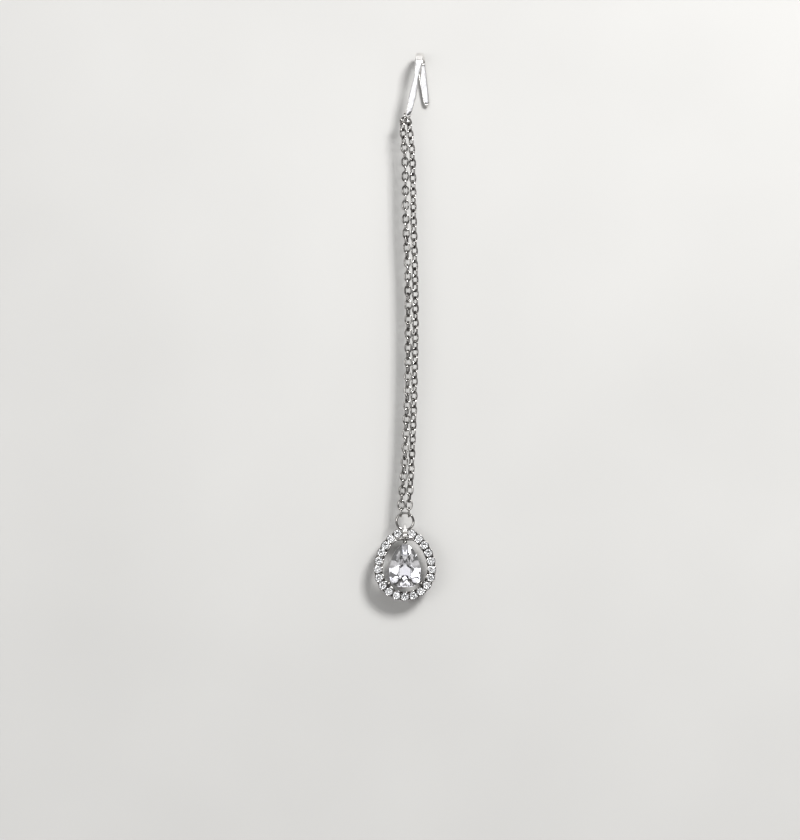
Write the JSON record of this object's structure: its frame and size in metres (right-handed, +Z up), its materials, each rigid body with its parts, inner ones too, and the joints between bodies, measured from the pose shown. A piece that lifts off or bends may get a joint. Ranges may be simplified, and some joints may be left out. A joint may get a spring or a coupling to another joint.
{
  "type": "maang tikka",
  "caption": "Maang tikka: flattened-wire hair hook, paired fine cable chains, jump ring and a pear-shaped halo pendant with a faceted clear centre stone.",
  "frame": {"origin": "inside of the hair hook's bend, where the jewel hangs, at the middle of the strip's width", "axes": "+Z up along the hanging chains, -Y the jewel's face, +X to the right seen from the front"},
  "size_m": [0.0146, 0.0068, 0.1277],
  "materials": {
    "polished_silver": "polished",
    "chain_silver": "polished",
    "setting_silver": "polished",
    "clear_stone": "polished"
  },
  "bodies": {
    "hook_and_chains": {"hair_hook": "polished_silver", "chain_left": "chain_silver", "chain_right": "chain_silver"},
    "ring": {"jump_ring": "polished_silver"},
    "pendant": {"halo_setting": "setting_silver", "centre_stone": "clear_stone"}
  },
  "joints": [
    {"name": "ring_swing", "type": "hinge", "parent": "hook_and_chains", "child": "ring", "pos_m": [-0.00349, -0.00182, -0.10663], "axis": [1, 0, 0], "range_deg": [-90, 90]},
    {"name": "pendant_sway", "type": "hinge", "parent": "ring", "child": "pendant", "pos_m": [-0.00349, -0.00182, -0.10839], "axis": [0, 1, 0], "range_deg": [-90, 90]}
  ]
}
